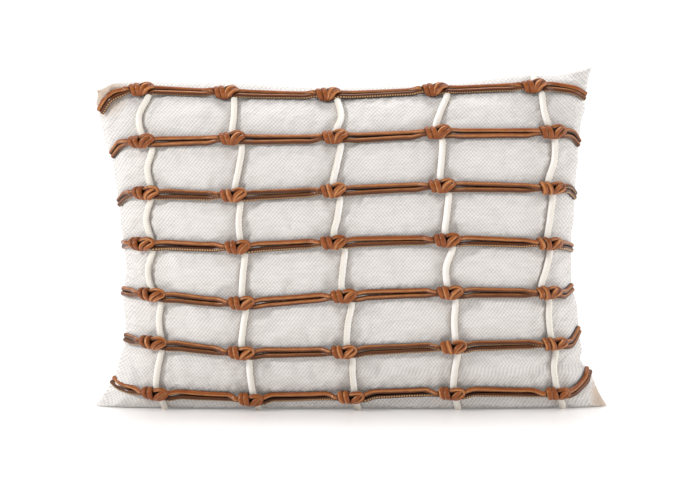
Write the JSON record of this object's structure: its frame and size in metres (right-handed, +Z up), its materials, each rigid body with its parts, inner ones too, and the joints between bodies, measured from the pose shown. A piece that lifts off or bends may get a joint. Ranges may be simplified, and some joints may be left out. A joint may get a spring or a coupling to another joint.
{
  "type": "throw pillow",
  "caption": "Rectangular lumbar throw pillow, woven cover zipped across the back, with a net of doubled tan leather cords knotted round ivory upright cords on its front.",
  "frame": {"origin": "middle of the footprint, on the floor, under the middle of the pillow's box", "axes": "+X along the pillow's width, to the right seen from the net side; -Y out of the netted front; +Z up"},
  "size_m": [0.452, 0.131, 0.298],
  "materials": {
    "cover_fabric": "warm off-white cotton basket weave, matte",
    "insert_lining": "plain white insert casing",
    "polyester_fibre": "loose white fibre",
    "tan_leather": "round stitched cord, tan, soft sheen",
    "ivory_leather": "round stitched cord, ivory, soft sheen",
    "zip_tape": "woven polyester tape",
    "zip_coil": "moulded nylon coil",
    "zip_metal": "cast, antique brass plated"
  },
  "bodies": {
    "pillow": {"front_panel": "cover_fabric", "upper_back_panel": "cover_fabric", "lower_back_panel": "cover_fabric", "insert_front_lining": "insert_lining", "insert_back_lining": "insert_lining", "fibre_filling": "polyester_fibre", "zip_upper_tape": "zip_tape", "zip_lower_tape": "zip_tape", "zip_upper_coil": "zip_coil", "zip_lower_coil": "zip_coil", "zip_closed_end_stop": "zip_metal", "zip_open_end_stop": "zip_metal", "row_1_upper_strand": "tan_leather", "row_1_lower_strand": "tan_leather", "row_2_upper_strand": "tan_leather", "row_2_lower_strand": "tan_leather", "row_3_upper_strand": "tan_leather", "row_3_lower_strand": "tan_leather", "row_4_upper_strand": "tan_leather", "row_4_lower_strand": "tan_leather", "row_5_upper_strand": "tan_leather", "row_5_lower_strand": "tan_leather", "row_6_upper_strand": "tan_leather", "row_6_lower_strand": "tan_leather", "row_7_upper_strand": "tan_leather", "row_7_lower_strand": "tan_leather", "upright_cord_1": "ivory_leather", "upright_cord_2": "ivory_leather", "upright_cord_3": "ivory_leather", "upright_cord_4": "ivory_leather", "upright_cord_5": "ivory_leather"},
    "slider": {"zip_slider": "zip_metal"},
    "pull": {"zip_pull_tab": "zip_metal"}
  },
  "joints": [
    {"name": "zip_travel", "type": "slide", "parent": "pillow", "child": "slider", "axis": [-1, 0, 0], "range_m": [0, 0.248]},
    {"name": "pull_swing", "type": "hinge", "parent": "slider", "child": "pull", "pos_m": [0.1245, 0.05608, 0.055], "axis": [0, 0, -1], "range_deg": [0, 180]}
  ]
}
